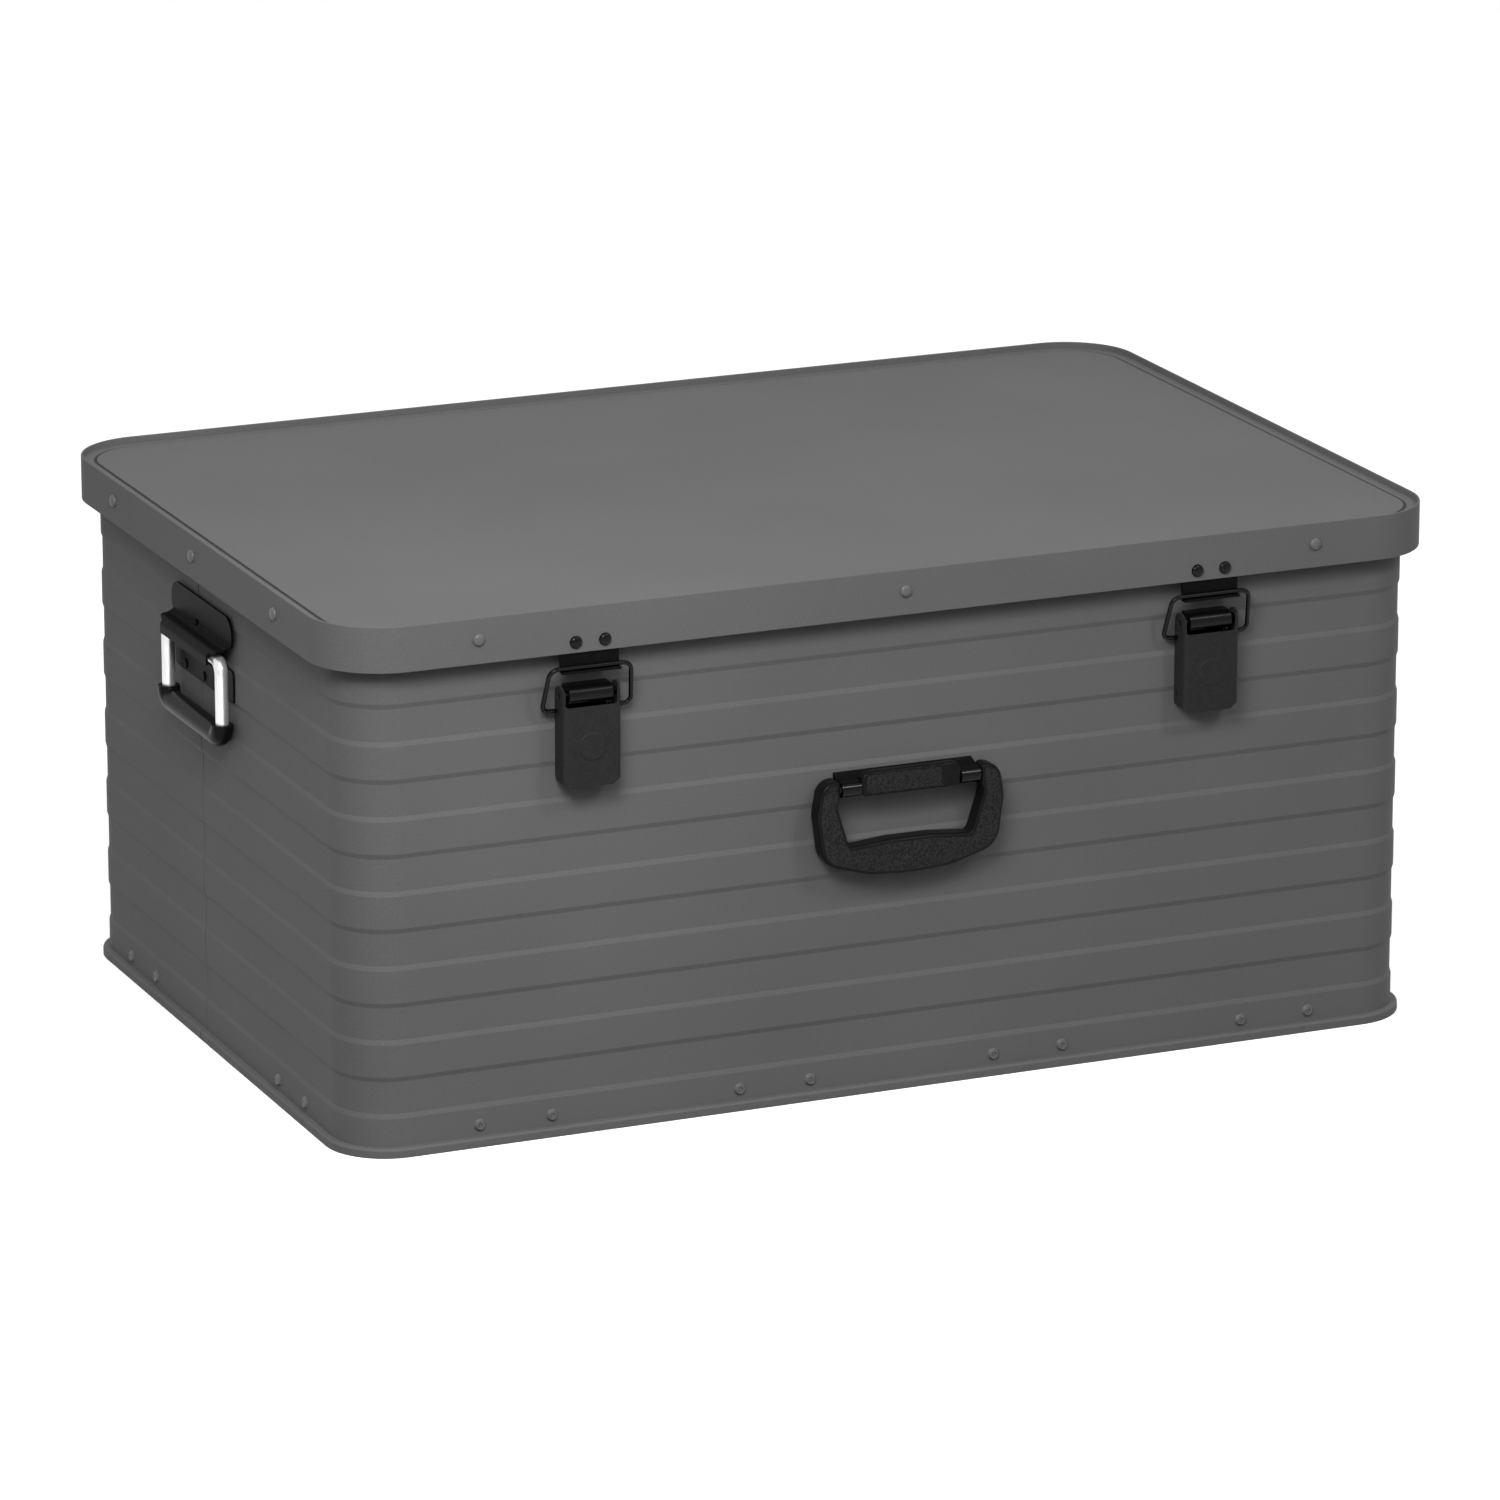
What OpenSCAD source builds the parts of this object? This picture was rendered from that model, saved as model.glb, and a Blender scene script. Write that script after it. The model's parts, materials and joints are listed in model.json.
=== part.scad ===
// Lidded aluminium transport box: a swaged sheet body, an overlapping hinged lid, two toggle
// latches, a folding carrying handle on the front and a drop handle on each end.
// Millimetres. +X runs along the front, the front faces -Y and +Z is up.
// The origin is the middle of the underside.
// "Out" is a distance from the flat face of the body wall, and "inset" one from the lid's skirt.

/* [Box] */
// Length of the lid, left to right
lid_length = 800; // [660:1:960]
// Depth of the lid, front to back
lid_depth = 538; // [440:1:650]
// Height from the underside to the rim of the lid
box_height = 362; // [300:1:440]
// Corner radius of the lid seen from above
lid_corner_r = 51; // [40:0.5:62]
// Sheet thickness of the body and the lid
sheet_t = 1.5; // [1.2:0.1:1.8]

/* [Body] */
// How far the wall stands in from the skirt of the lid
wall_inset = 12.5; // [10.5:0.5:15]
// Depth of a recessed band of the wall
rib_depth = 1; // [0.8:0.1:1.2]
// Height of a recessed band
rib_width = 25.2; // [21:0.1:30]
// Distance from one recessed band to the next
rib_pitch = 50.5; // [42:0.5:60]
// Least height of the plain band above the floor
base_band = 26; // [22:1:30]
// Width of the stiffening flange along the top of the wall
top_flange_w = 7; // [6:0.5:7.5]
// Where the ends of the wall sheet meet, measured back from the middle of the left end
seam_y = 23; // [0:1:60]
// Width of the strap behind that seam
strap_w = 30; // [24:1:36]

/* [Base] */
// How far the base rim stands out from the wall
rim_out = 4.8; // [4:0.1:5.8]
// Height of the base rim
rim_h = 6.5; // [5.5:0.1:7.8]
// Height of the floor pan's upturned flange
pan_flange_h = 22; // [19:0.5:24]
// Height of the base rivets above the underside
base_rivet_z = 14.2; // [13:0.1:16]
// Distance between the two rivets of a pair
base_pair_gap = 51; // [42:1:60]
// Distance from the end of a straight side to the middle of its last pair
base_pair_inset = 71; // [60:1:84]
// How far the base rivets of the front and back are shifted sideways
base_rivet_shift = 5; // [0:0.5:6]
// How far the base rivets of the ends are shifted back
end_rivet_shift = 3.5; // [0:0.5:6]
// Number of rivet pairs along the front and the back
long_side_pairs = 4; // [3:1:5]

/* [Lid] */
// Height of the skirt
skirt_h = 31; // [28:0.5:37]
// How far the rim of the lid stands above the panel
rim_rise = 4; // [3.4:0.1:4.8]
// Width of the ledge, from the outside of the skirt
ledge_w = 9; // [8.6:0.1:10.5]
// Width of the groove between the ledge and the panel
groove_w = 2.2; // [1.8:0.1:2.6]
// Width of the flange under the panel, from the outside of the skirt
frame_w = 22; // [19:0.5:26]
// Height of the domed rivets above the edge of the skirt
lid_rivet_up = 16.5; // [16:0.1:17.5]
// Distance from the end of a long side to its last domed rivet
lid_rivet_inset_x = 48; // [40:1:58]
// Distance from the end of a short side to its last domed rivet
lid_rivet_inset_y = 60; // [50:1:72]
// Width and height of the rubber seal
seal_w = 5.5; // [4.6:0.1:6.4]
seal_h = 3; // [2.5:0.1:3.6]
// Gap between the seal and the top of the wall
seal_gap = 0.3; // [0.2:0.05:0.5]

/* [Latches] */
// Distance from the end of the front's straight part to the middle of a latch
latch_inset = 125.5; // [105:0.5:150]
// Width of the lever
lever_w = 38; // [32:0.5:45]
// Length of the lever below its pivot
lever_len = 61; // [55:0.5:70]
// How far the face of the lever stands out from the wall
lever_out = 14.5; // [14:0.1:16]
// Sheet thickness of the latch parts
latch_t = 1.5; // [1.2:0.1:1.8]
// Drop from the edge of the skirt to the lever's pivot
pivot_drop = 29; // [28:0.5:32]
// How far the pivot stands out from the wall
pivot_out = 8; // [7.8:0.1:8.4]
// Radius of the lever's ears round the pivot
ear_r = 6.8; // [6.4:0.1:7.2]
// Radius of the pivot pin
latch_pin_r = 2; // [1.7:0.1:2.4]
// Drop from the pivot to the holes for the bail
eye_drop = 10.5; // [10:0.1:12]
// How far those holes lie nearer the wall than the pivot
eye_in = 3.5; // [3:0.1:4]
// Thickness of the bail's wire
bail_d = 3; // [2.5:0.1:3.4]
// Width of the bail at its foot and at its bar, between wire centres
bail_foot_w = 62.6; // [56:0.2:70]
bail_bar_w = 56.6; // [52:0.2:66]
// Drop from the edge of the skirt to the bail's bar
bar_drop = 9.7; // [9.2:0.1:10.5]
// How far the middle of the bail's bar lies in front of the skirt
bar_past_skirt = 0.25; // [0:0.05:1]
// Width of the keeper
keeper_w = 41; // [36:0.5:46]
// Clear height between the keeper's hook and the bail's bar
hook_gap = 0.4; // [0.4:0.05:0.6]
// Radius of the round boss on the lever
boss_r = 10.5; // [9:0.1:12]

/* [Front handle] */
// How far the handle is shifted to the right of the middle
handle_shift = 3.6; // [0:0.1:6]
// Drop from the edge of the skirt to the handle's pin
handle_drop = 114.7; // [105:0.1:125]
// How far the handle's pin stands out from the wall
handle_pin_out = 12; // [11.5:0.1:13]
// Radius of the handle's pin
handle_pin_r = 2.5; // [2.2:0.1:2.8]
// Width of the bracket
bracket_w = 100; // [90:1:110]
// Width of each rolled knuckle of the bracket
knuckle_w = 13.7; // [12:0.1:16]
// Outer radius of a knuckle
knuckle_r = 5.2; // [4.8:0.1:5.6]
// Greatest width of the grip
grip_w = 136; // [126:0.2:150]
// Length of the grip below its pin
grip_len = 61.6; // [56:0.2:72]
// Thickness of the grip
grip_t = 13.3; // [12:0.1:13.5]

/* [End handles] */
// How far the end handles are shifted back from the middle
end_handle_y = 11; // [0:0.5:14]
// Drop from the edge of the skirt to the bar's axis
end_drop = 47; // [45:0.5:50]
// How far the bar's axis stands out from the wall
end_bar_out = 8.2; // [8:0.1:9]
// Thickness of the bar
bar_d = 9; // [8:0.1:9.4]
// Distance between the two legs of the bar
leg_gap = 106; // [98:1:118]
// Length from the bar's axis to the middle of the grip
leg_len = 52; // [46:0.5:60]
// Thickness of the plastic grip
end_grip_d = 15.2; // [14:0.1:15.6]
// Sheet thickness of the end plates
plate_t = 1.5; // [1.2:0.1:1.8]

/* [Hinges] */
// Width of a hinge
hinge_w = 52; // [44:1:60]
// Outer radius of its knuckles
hinge_r = 4; // [3.6:0.1:4.6]
// Radius of its pin
hinge_pin_r = 2; // [1.6:0.1:2.2]
// Width of the middle knuckle, which belongs to the lid
hinge_mid_w = 18; // [14:0.5:22]
// Drop from the edge of the skirt to the pin
hinge_drop = 6; // [5.5:0.1:7]

/* [Fits] */
// Radial clearance of a pin or a rivet in its hole
pin_fit = 0.05; // [0.03:0.01:0.08]
// Sideways gap between knuckles
side_gap = 0.3; // [0.2:0.05:0.4]
// Gap between the end handle's bar and the plates round it
bar_gap = 0.6; // [0.5:0.05:0.7]

/* [Hidden] */
$fn = 64;

// Colours of the finishes
GREY_PAINT = "#6a6b6c";
BLACK_METAL = "#2e2f30";
BLACK_PLASTIC = "#333333";
ZINC = "#c9cacb";
BLACK_RUBBER = "#1f1f1f";

// A little more than a thickness, for cuts that go right through
cut = 1;
// Half sizes of the rectangle whose corners are the centres of all the corner arcs
core_x = lid_length / 2 - lid_corner_r;
core_y = lid_depth / 2 - lid_corner_r;
// Height of the edge of the skirt
skirt_z = box_height - skirt_h;
// Corner radius of the wall, and its inner face behind a recessed band
wall_r = lid_corner_r - wall_inset;
wall_back = rib_depth + sheet_t;
// Heights through the lid, from the top down
panel_z = box_height - rim_rise;
frame_z = panel_z - sheet_t;
seal_z = frame_z - sheet_t - seal_h;
wall_top = seal_z - seal_gap;
// Height of one swage step, and of the top edge of the uppermost recessed band
step_h = 3.4;
rib_drop = 25.8;
rib_top_z = skirt_z - rib_drop;
rib_count = floor((rib_top_z - rib_width - base_band) / rib_pitch) + 1;
// Width of the butt joint in the wall sheet
seam_gap = 0.9;
strap_t = 1;
// Rivets: shank, head and set end
shank_r = 1.8;
tail_r = 2.6;
tail_h = 1.2;
flat_head_r = 4.2;
flat_head_h = 1.2;
dome_head_r = 4.3;
dome_head_h = 2.6;
small_head_r = 3.4;
// Edge of the lid frame's upright leg, clear of the keepers below it
frame_leg_z = skirt_z + 12.3;
keeper_top_z = skirt_z + 12;
keeper_rivet_up = 7.4;
keeper_rivet_gap = 20.4;
// Latches and hinges share their places along the box
latch_x = core_x - latch_inset;
eye_y = -pivot_drop - eye_drop;
eye_out = pivot_out - eye_in;
bar_y = -bar_drop;
bar_out = wall_inset + bar_past_skirt;
bail_tilt = atan2(bar_out - eye_out, bar_y - eye_y);
bail_len = norm([bar_out - eye_out, bar_y - eye_y]);
lever_side_out = 0.8;
base_half_w = lever_w / 2 - 3.8;
base_rivet_drops = [pivot_drop + 29, pivot_drop + 40];
end_rivet_ups = [26 - end_drop, -24 - end_drop];
hinge_rivet_up = -hinge_drop - 12;
// Depth of the bracket's roof above the handle's cover, which hooks over its front edge
cover_roof_out = handle_pin_out - 3;
// How far the front of the grip stands out from its pin's axis
grip_front = 4.3;
// Height of the sealing bead in the groove round the panel
bead_h = 1;
bend_r = 9;
hinge_out = wall_inset + hinge_r;

// ---- Plain geometry ----

function unit(v) = v / norm(v);

// Points of a polygon whose corners are rounded: each corner is [x, y, radius]
function rounded(corners, steps = 8) = [
    for (i = [0 : len(corners) - 1])
        let (
            n = len(corners),
            here = [corners[i][0], corners[i][1]],
            before = corners[(i + n - 1) % n],
            after = corners[(i + 1) % n],
            a = unit([before[0], before[1]] - here),
            b = unit([after[0], after[1]] - here),
            half = acos(max(-1, min(1, a * b))) / 2,
            r = corners[i][2],
            centre = here + unit(a + b) * r / sin(half),
            from = here + a * r / tan(half) - centre,
            to = here + b * r / tan(half) - centre,
            start = atan2(from[1], from[0]),
            turn = (atan2(to[1], to[0]) - start + 540) % 360 - 180
        )
        each (r == 0) ? [here] : [
            for (k = [0 : steps])
                centre + r * [cos(start + turn * k / steps), sin(start + turn * k / steps)]
        ]
];

// The same corners mirrored across x = 0 and added in reverse, for an outline listed for x > 0
function both_sides(corners) = concat(
    corners,
    [for (i = [len(corners) - 1 : -1 : 0]) [-corners[i][0], corners[i][1], corners[i][2]]]
);

// Sweeps a profile of [corner radius, height] once round the box
module around_box() {
    for (sx = [0, 1], sy = [0, 1])
        mirror([sx, 0, 0]) mirror([0, sy, 0]) translate([core_x, core_y, 0])
            rotate_extrude(angle = 90) children();
    for (side = [0, 1]) {
        mirror([0, side, 0]) translate([-core_x, core_y, 0]) rotate([90, 0, 90])
            linear_extrude(2 * core_x) children();
        mirror([side, 0, 0]) translate([core_x, core_y, 0]) rotate([90, 0, 0])
            linear_extrude(2 * core_y) children();
    }
}

// A flat sheet with the box's rounded corners, at an inset from the skirt
module box_sheet(inset, thickness) {
    linear_extrude(thickness) {
        square([2 * core_x, lid_depth - 2 * inset], center = true);
        square([lid_length - 2 * inset, 2 * core_y], center = true);
        for (sx = [-1, 1], sy = [-1, 1])
            translate([sx * core_x, sy * core_y]) circle(lid_corner_r - inset);
    }
}

// Puts a child on the face of the wall. There x runs to the right seen from outside,
// y up from the edge of the skirt and z out of the wall.
module on_wall(side, along = 0, up = 0) {
    turns = side == "front" ? 0 : side == "right" ? 90 : side == "back" ? 180 : -90;
    half = side == "front" || side == "back" ? lid_depth / 2 : lid_length / 2;
    rotate([0, 0, turns]) translate([along, wall_inset - half, skirt_z + up])
        rotate([90, 0, 0]) children();
}

// Extrudes a profile of [out, up] sideways, from x0 to x1
module sideways(x0, x1) {
    translate([x1, 0, 0]) rotate([0, -90, 0]) linear_extrude(x1 - x0) children();
}

// A rod along x
module cross_rod(x0, x1, r) {
    translate([x0, 0, 0]) rotate([0, 90, 0]) cylinder(h = x1 - x0, r = r);
}

// A round rod bent in the xy plane: each path point is [x, y, bend radius].
// The straights run a little into the bends, which are a hair thicker so that they hold them.
module bent_rod(path, d) {
    seat = 0.3;
    swell = 0.04;
    last = len(path) - 1;
    points = [for (p = path) [p[0], p[1]]];
    dirs = [for (i = [0 : last - 1]) unit(points[i + 1] - points[i])];
    turns = [for (i = [0 : last]) i == 0 || i == last ? 0
        : atan2(cross(dirs[i - 1], dirs[i]), dirs[i - 1] * dirs[i])];
    trims = [for (i = [0 : last]) path[i][2] * tan(abs(turns[i]) / 2)];
    for (i = [0 : last - 1]) {
        first_end = max(trims[i] - seat, 0);
        length = norm(points[i + 1] - points[i]) - first_end - max(trims[i + 1] - seat, 0);
        start = points[i] + dirs[i] * first_end;
        translate([start[0], start[1], 0]) rotate([0, 0, atan2(dirs[i][1], dirs[i][0])])
            rotate([0, 90, 0]) cylinder(h = length, d = d);
    }
    for (i = [1 : last - 1]) {
        hand = sign(turns[i]);
        start = points[i] - dirs[i - 1] * trims[i];
        centre = start + hand * path[i][2] * [-dirs[i - 1][1], dirs[i - 1][0]];
        first = atan2(start[1] - centre[1], start[0] - centre[0]) + min(0, turns[i]);
        translate([centre[0], centre[1], 0]) rotate([0, 0, first])
            rotate_extrude(angle = abs(turns[i])) translate([path[i][2], 0])
                circle(d = d + swell);
    }
}

// ---- Rivets ----

// A domed cap of the given radius and height, standing on z = 0
module dome(r, h) {
    ball = (r * r + h * h) / (2 * h);
    intersection() {
        translate([0, 0, h - ball]) sphere(ball);
        translate([0, 0, 0]) cylinder(h = h, r = r);
    }
}

// A set rivet whose head stands on z = 0 and whose shank goes back through grip
module rivet(head_r, head_h, grip, domed = false) {
    if (domed) dome(head_r, head_h);
    else cylinder(h = head_h, r = head_r);
    translate([0, 0, -grip]) cylinder(h = grip, r = shank_r);
    translate([0, 0, -grip - tail_h]) cylinder(h = tail_h, r = tail_r);
}

// Thickness a rivet at a height above the skirt's edge goes through: its plate and the wall
function wall_grip(plate, up) =
    let (below = rib_top_z + step_h - skirt_z - up, n = floor(below / rib_pitch))
    plate + sheet_t + (below > 0 && n < rib_count
        && below - n * rib_pitch < rib_width + 2 * step_h ? rib_depth : 0);

module rivet_hole(depth) {
    translate([0, 0, -depth]) cylinder(h = depth + cut, r = shank_r + pin_fit);
}

// Places along one side of the base for its rivets
function base_places(half, pairs) = [
    for (i = [0 : pairs - 1], s = [-1, 1])
        -(half - base_pair_inset) + i * 2 * (half - base_pair_inset) / (pairs - 1)
            + s * base_pair_gap / 2
];

module each_base_rivet() {
    for (side = ["front", "back"], x = base_places(core_x, long_side_pairs))
        on_wall(side, x + (side == "front" ? 1 : -1) * base_rivet_shift, base_rivet_z - skirt_z)
            children();
    for (side = ["left", "right"], x = base_places(core_y, 2))
        on_wall(side, x + (side == "right" ? 1 : -1) * end_rivet_shift, base_rivet_z - skirt_z)
            children();
}

module each_lid_rivet() {
    for (side = ["front", "back"], k = [-1, 0, 1])
        on_wall(side, k * (core_x - lid_rivet_inset_x), lid_rivet_up)
            translate([0, 0, wall_inset]) children();
    for (side = ["left", "right"], k = [-1, 0, 1])
        on_wall(side, k * (core_y - lid_rivet_inset_y), lid_rivet_up)
            translate([0, 0, wall_inset]) children();
}

module each_keeper_rivet(hand) {
    for (s = [-0.5, 0.5])
        on_wall("front", hand * latch_x + s * keeper_rivet_gap, keeper_rivet_up)
            translate([0, 0, wall_inset]) children();
}

module each_latch_base_rivet(hand) {
    for (drop = base_rivet_drops, s = [-7, 7])
        on_wall("front", hand * latch_x + s, -drop) children();
}

module each_front_handle_rivet() {
    for (x = [-26, -9, 9, 26])
        on_wall("front", handle_shift + x, -handle_drop - 4.5) children();
}

module each_end_handle_rivet(side) {
    along = (side == "right" ? 1 : -1) * end_handle_y;
    for (x = [-36, 36]) on_wall(side, along + x, end_rivet_ups[0]) children();
    for (x = [-36, 0, 36]) on_wall(side, along + x, end_rivet_ups[1]) children();
}

module each_hinge_body_rivet(hand) {
    for (s = [-18, 0, 18]) on_wall("back", hand * latch_x + s, hinge_rivet_up) children();
}

module each_hinge_lid_rivet(hand) {
    for (s = [-18, 18]) on_wall("back", hand * latch_x + s, 7.5)
        translate([0, 0, wall_inset]) children();
}

// ---- Body ----

// The two edges of the wall sheet, from the bottom up, shifted in by back
function wall_edge(back) = [
    for (i = [rib_count - 1 : -1 : 0])
        let (low = rib_top_z - i * rib_pitch - rib_width, high = low + rib_width)
        each [
            [wall_r - back, low - step_h / 2],
            [wall_r - back - rib_depth, low + step_h / 2],
            [wall_r - back - rib_depth, high - step_h / 2],
            [wall_r - back, high + step_h / 2]
        ]
];

module wall_profile() {
    inner = wall_edge(sheet_t);
    polygon(concat(
        [[wall_r - sheet_t, 0], [wall_r, 0]],
        wall_edge(0),
        [
            [wall_r, wall_top - sheet_t],
            [wall_r + top_flange_w, wall_top - sheet_t],
            [wall_r + top_flange_w, wall_top],
            [wall_r - sheet_t, wall_top]
        ],
        [for (i = [len(inner) - 1 : -1 : 0]) inner[i]]
    ));
}

// The slit where the ends of a sheet meet on the left end
module seam_cut() {
    translate([-lid_length / 2, seam_y - seam_gap / 2, -cut])
        cube([wall_inset + wall_back + cut, seam_gap, box_height]);
}

module body_wall() {
    color(GREY_PAINT) difference() {
        around_box() wall_profile();
        seam_cut();
        each_base_rivet() rivet_hole(wall_back + cut);
        for (hand = [-1, 1]) {
            each_latch_base_rivet(hand) rivet_hole(wall_back + cut);
            each_hinge_body_rivet(hand) rivet_hole(wall_back + cut);
        }
        each_front_handle_rivet() rivet_hole(wall_back + cut);
        for (side = ["left", "right"]) each_end_handle_rivet(side) rivet_hole(wall_back + cut);
    }
}

module seam_strap() {
    color(GREY_PAINT)
        translate([-lid_length / 2 + wall_inset + wall_back, seam_y - strap_w / 2, pan_flange_h + 2])
            cube([strap_t, strap_w, end_plate_low_z() - pan_flange_h - 4]);
}

// Height of the lowest rivet of an end handle, which the strap stops short of
function end_plate_low_z() = skirt_z - end_drop - 24 - tail_r;

module base_pan() {
    color(GREY_PAINT) difference() {
        union() {
            box_sheet(wall_inset + sheet_t, sheet_t);
            around_box() translate([wall_r - 2 * sheet_t, 0]) square([sheet_t, pan_flange_h]);
        }
        each_base_rivet() rivet_hole(wall_back + 2 * sheet_t);
    }
}

module base_rim() {
    color(GREY_PAINT) difference() {
        around_box() polygon(rounded([
            [wall_r, 0, 0],
            [wall_r + rim_out, 0, 0.8],
            [wall_r + rim_out, rim_h, 1.8],
            [wall_r, rim_h, 0]
        ]));
        seam_cut();
    }
}

module base_rivets() {
    color(GREY_PAINT) each_base_rivet() rivet(flat_head_r, flat_head_h, 2 * sheet_t);
}

// ---- Lid ----

module lid_skirt() {
    color(GREY_PAINT) difference() {
        around_box() polygon(rounded([
            [lid_corner_r - sheet_t, skirt_z, 0.3],
            [lid_corner_r, skirt_z, 0.5],
            [lid_corner_r, box_height, 0.6],
            [lid_corner_r - sheet_t, box_height, 0.6]
        ], 4));
        each_lid_rivet() rivet_hole(2 * sheet_t);
        for (hand = [-1, 1]) {
            each_keeper_rivet(hand) rivet_hole(2 * sheet_t);
            each_hinge_lid_rivet(hand) rivet_hole(2 * sheet_t);
        }
    }
}

module lid_frame() {
    leg = lid_corner_r - sheet_t;
    ledge = lid_corner_r - ledge_w;
    color(GREY_PAINT) difference() {
        around_box() polygon(rounded([
            [leg - sheet_t, frame_leg_z, 0],
            [leg, frame_leg_z, 0],
            [leg, panel_z, 0],
            [ledge, panel_z, 0.7],
            [ledge, frame_z, 0],
            [lid_corner_r - frame_w, frame_z, 0],
            [lid_corner_r - frame_w, frame_z - sheet_t, 0],
            [ledge + sheet_t, frame_z - sheet_t, 0],
            [ledge + sheet_t, frame_z, 0],
            [leg - sheet_t, frame_z, 0]
        ], 4));
        each_lid_rivet() rivet_hole(2 * sheet_t + cut);
    }
}

module lid_panel() {
    color(GREY_PAINT) translate([0, 0, frame_z]) box_sheet(ledge_w + groove_w, sheet_t);
}

module panel_bead() {
    outer = lid_corner_r - ledge_w;
    color(BLACK_RUBBER) around_box() polygon([
        [outer - groove_w, frame_z], [outer - groove_w, frame_z + bead_h],
        [outer, frame_z + bead_h], [outer, frame_z]
    ]);
}

module lid_rivets() {
    color(GREY_PAINT) each_lid_rivet() rivet(dome_head_r, dome_head_h, 2 * sheet_t, true);
}

module lid_seal() {
    outer = wall_r + top_flange_w / 2;
    color(BLACK_RUBBER) around_box() polygon(rounded([
        [outer - seal_w, seal_z + seal_h, 0],
        [outer - seal_w, seal_z, 1],
        [outer, seal_z, 1],
        [outer, seal_z + seal_h, 0]
    ], 4));
}

// ---- Latches; hand is -1 on the left and 1 on the right ----

module on_latch(hand) {
    on_wall("front", hand * latch_x) children();
}

module latch_base(hand) {
    knuckle = ear_r - 0.5;
    color(BLACK_METAL) difference() {
        union() {
            on_latch(hand) {
                translate([-base_half_w, -pivot_drop - 46, 0])
                    cube([2 * base_half_w, 46, latch_t]);
                sideways(-base_half_w, base_half_w) polygon([
                    [0, -pivot_drop - 7], [0, -pivot_drop + knuckle - 0.1],
                    [pivot_out, -pivot_drop + knuckle], [pivot_out, -pivot_drop - knuckle]
                ]);
                translate([0, -pivot_drop, pivot_out])
                    cross_rod(-base_half_w, base_half_w, knuckle);
            }
        }
        on_latch(hand) translate([0, -pivot_drop, pivot_out])
            cross_rod(-lever_w, lever_w, latch_pin_r + pin_fit);
        each_latch_base_rivet(hand) translate([0, 0, latch_t]) rivet_hole(latch_t + cut);
    }
}

module latch_base_rivets(hand) {
    color(BLACK_METAL) each_latch_base_rivet(hand) translate([0, 0, latch_t])
        rivet(small_head_r, flat_head_h, wall_grip(latch_t, -base_rivet_drops[0]));
}

// Outline of one cheek of the lever in [out, up], without its round ear
module lever_cheek() {
    foot = -pivot_drop - lever_len;
    polygon([
        [lever_side_out, -pivot_drop], [lever_side_out, foot + 5.5],
        [lever_side_out + 2, foot + 3.5], [lever_out, foot + 3.5], [lever_out, -pivot_drop - 2]
    ]);
}

module latch_lever(hand) {
    half = lever_w / 2;
    foot = -pivot_drop - lever_len;
    face_top = -pivot_drop - 7;
    color(BLACK_METAL) on_latch(hand) difference() {
        union() {
            translate([0, 0, lever_out - latch_t]) linear_extrude(latch_t)
                polygon(rounded(both_sides([
                    [14.5, foot, 1.5], [half, foot + 3.5, 0.5],
                    [half, face_top + 2.5, 0], [half - latch_t, face_top + 2.5, 0],
                    [half - latch_t, face_top, 2]
                ])));
            for (s = [0, 1]) mirror([s, 0, 0]) sideways(half - latch_t, half) {
                lever_cheek();
                translate([pivot_out, -pivot_drop]) circle(ear_r);
            }
            translate([0, -pivot_drop - 34, lever_out]) {
                cylinder(h = 1.3, r = boss_r);
                cylinder(h = 2, r = boss_r - 0.7);
            }
        }
        translate([0, -pivot_drop, pivot_out])
            cross_rod(-lever_w, lever_w, latch_pin_r + pin_fit);
        translate([0, eye_y, eye_out]) cross_rod(-lever_w, lever_w, bail_d / 2 + pin_fit);
        translate([-lever_w, foot + 7.5, 3.3]) cube([2 * lever_w, 5.5, 2.6]);
    }
}

module latch_pin(hand) {
    half = lever_w / 2;
    head_h = 1.5;
    color(BLACK_METAL) on_latch(hand) translate([0, -pivot_drop, pivot_out]) {
        cross_rod(-half, half, latch_pin_r);
        for (s = [-1, 1]) translate([s * half, 0, 0]) rotate([0, s * 90, 0])
            dome(small_head_r, head_h);
    }
}

module latch_bail(hand) {
    inner = lever_w / 2 - latch_t - 1.6;
    foot = bail_foot_w / 2;
    top = bail_bar_w / 2;
    color(BLACK_METAL) on_latch(hand) translate([0, eye_y, eye_out]) rotate([bail_tilt, 0, 0])
        bent_rod([
            [inner, 0, 0], [foot, 0, 4.5], [top, bail_len, 6.5],
            [-top, bail_len, 6.5], [-foot, 0, 4.5], [-inner, 0, 0]
        ], bail_d);
}

module keeper(hand) {
    half = keeper_w / 2;
    back = wall_inset - sheet_t - latch_t;
    hook_y = bar_y - bail_d / 2 - hook_gap;
    top = keeper_top_z - skirt_z;
    color(BLACK_METAL) difference() {
        on_latch(hand) sideways(-half, half) polygon(rounded([
            [back, top, 0], [back, hook_y - latch_t, 2],
            [bar_out + bail_d / 2 + 1.2, hook_y - latch_t, 0.4],
            [bar_out + bail_d / 2 + 1.2, hook_y, 0.4],
            [back + latch_t, hook_y, 0.5], [back + latch_t, top, 0]
        ], 4));
        each_keeper_rivet(hand) rivet_hole(3 * sheet_t);
    }
}

module keeper_rivets(hand) {
    color(BLACK_METAL) each_keeper_rivet(hand)
        rivet(dome_head_r, dome_head_h, sheet_t + latch_t, true);
}

// ---- Front handle ----

module on_front_handle() {
    on_wall("front", handle_shift, -handle_drop) children();
}

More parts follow.
